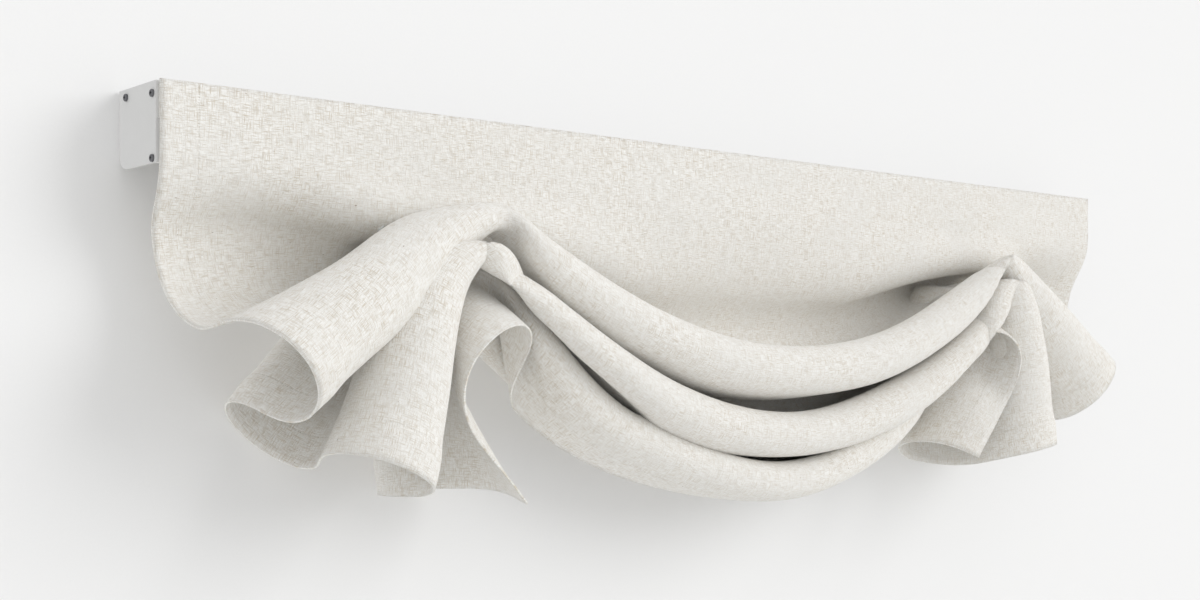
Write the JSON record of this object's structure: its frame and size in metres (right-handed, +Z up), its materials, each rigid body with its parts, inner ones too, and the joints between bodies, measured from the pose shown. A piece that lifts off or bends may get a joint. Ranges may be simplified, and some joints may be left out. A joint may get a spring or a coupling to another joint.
{
  "type": "roman blind",
  "caption": "Relaxed cordless Roman blind in slubby linen, held raised in soft swagged folds between two ring columns, with a painted wall-mounted headrail.",
  "frame": {"origin": "on the wall face, midway between the two wall holes of the centre bracket", "axes": "+X along the headrail to the right seen from the room, +Y into the wall, +Z up"},
  "size_m": [1.2266, 0.1534, 0.3408],
  "materials": {
    "linen": "matt woven linen with slubs",
    "tape": "hook-and-loop tape",
    "cord": "braided polyester cord",
    "rail_paint": "satin off-white powder coat",
    "plate_paint": "satin pale grey powder coat",
    "screw_steel": "dark zinc",
    "bracket_steel": "zinc plated",
    "shaft_steel": "drawn",
    "spring_steel": "blued strip",
    "nylon": "moulded",
    "ring_plastic": "moulded"
  },
  "bodies": {
    "headrail_assembly": {"headrail": "rail_paint", "left_end_plate": "plate_paint", "right_end_plate": "plate_paint", "left_end_screws": "screw_steel", "right_end_screws": "screw_steel", "left_shaft_bearing": "nylon", "right_shaft_bearing": "nylon", "left_spool_cradle": "nylon", "right_spool_cradle": "nylon", "left_wall_bracket": "bracket_steel", "centre_wall_bracket": "bracket_steel", "right_wall_bracket": "bracket_steel", "bracket_screws": "screw_steel", "unit_screws": "screw_steel", "motor_housing": "nylon", "motor_cover": "nylon", "motor_screws": "screw_steel", "power_spring": "spring_steel", "hook_tape": "tape", "loop_tape": "tape"},
    "shade": {"shade_fabric": "linen", "left_lift_cord": "cord", "right_lift_cord": "cord", "left_lift_rings": "ring_plastic", "right_lift_rings": "ring_plastic", "left_cord_stop": "ring_plastic", "right_cord_stop": "ring_plastic"},
    "lift_train": {"lift_shaft": "shaft_steel", "left_cord_spool": "nylon", "right_cord_spool": "nylon", "left_set_screw": "screw_steel", "right_set_screw": "screw_steel", "left_cord_winding": "cord", "right_cord_winding": "cord", "output_drum": "nylon"},
    "storage_spool": {"storage_drum": "nylon"}
  },
  "joints": [
    {"name": "shade_drop", "type": "slide", "parent": "headrail_assembly", "child": "shade", "axis": [0, 0, -1], "range_m": [0, 0.76], "deforming": ["shade_fabric", "left_lift_cord", "right_lift_cord"]},
    {"name": "shaft_spin", "type": "hinge", "parent": "headrail_assembly", "child": "lift_train", "pos_m": [0, -0.048, -0.002], "axis": [1, 0, 0], "range_deg": [0, 3326]},
    {"name": "storage_spin", "type": "hinge", "parent": "headrail_assembly", "child": "storage_spool", "pos_m": [0.142, -0.022, -0.002], "axis": [1, 0, 0], "range_deg": [-3171, 0]}
  ],
  "couplings": [
    {"joint": "shaft_spin", "follows": "shade_drop", "rad_per_m": 76.336},
    {"joint": "storage_spin", "follows": "shade_drop", "rad_per_m": -72.776}
  ]
}
